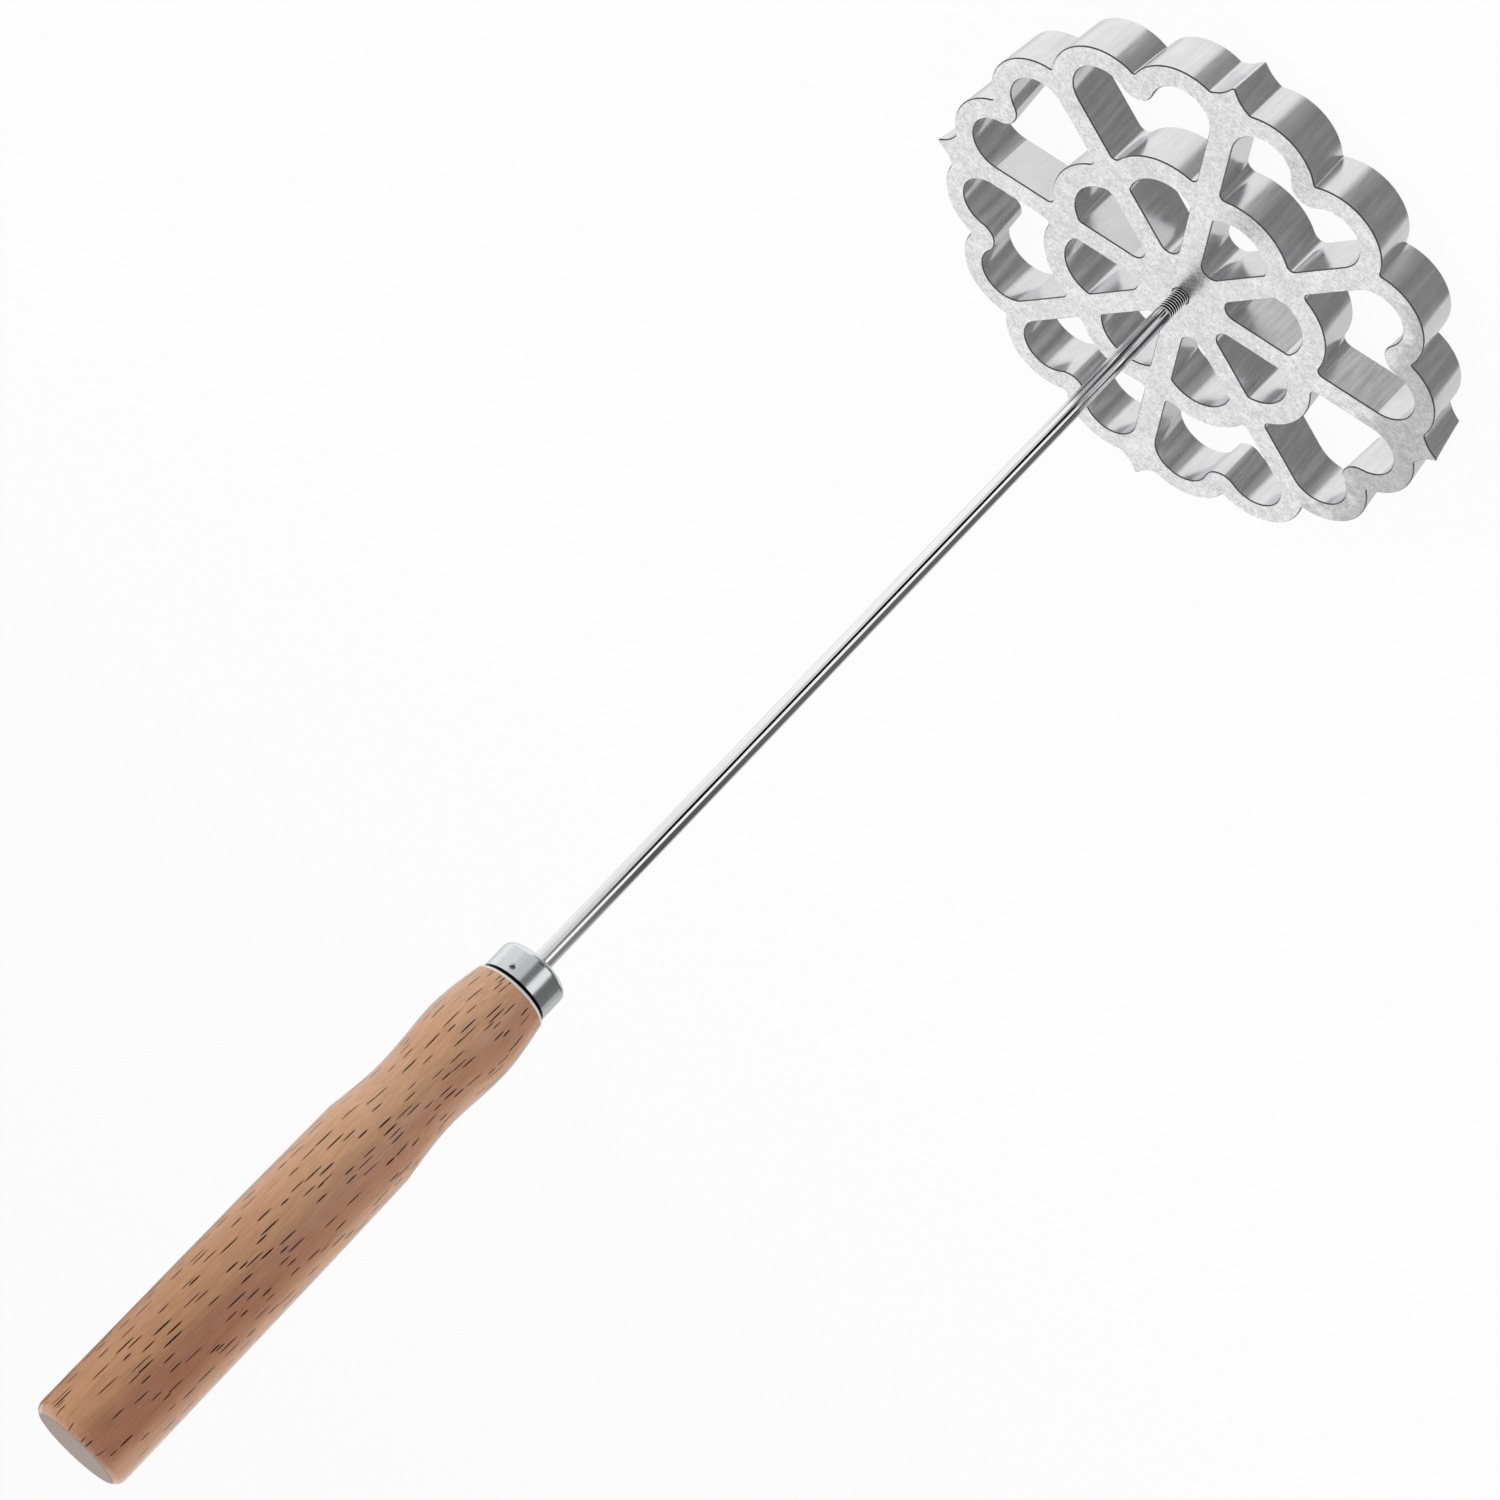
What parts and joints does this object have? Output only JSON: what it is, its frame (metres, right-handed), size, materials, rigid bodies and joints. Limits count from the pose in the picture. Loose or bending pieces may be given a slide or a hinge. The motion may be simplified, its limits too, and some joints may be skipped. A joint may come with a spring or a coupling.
{
  "type": "rosette iron",
  "caption": "Cast pastry mould with a lobed rim, heart-shaped cells and a ring of eyes, on a long threaded steel shank with a turned wooden handle and a ferrule.",
  "frame": {"origin": "middle of the mould's lower face, on which the iron stands", "axes": "+Z along the shank from the mould to the butt of the handle; +X towards one of the rim's four ears, +Y towards the next"},
  "size_m": [0.1328, 0.1328, 0.3476],
  "materials": {
    "cast_aluminium": "fine cast grain, satin",
    "polished_steel": "drawn and polished",
    "satin_steel": "satin",
    "lacquered_beech": "satin lacquer"
  },
  "bodies": {
    "mould_body": {"mould": "cast_aluminium"},
    "handle_body": {"shank": "polished_steel", "ferrule": "satin_steel", "handle": "lacquered_beech"}
  },
  "joints": [
    {"name": "shank_unscrew", "type": "slide", "parent": "mould_body", "child": "handle_body", "axis": [0, 0, 1], "range_m": [0, 0.02]}
  ]
}
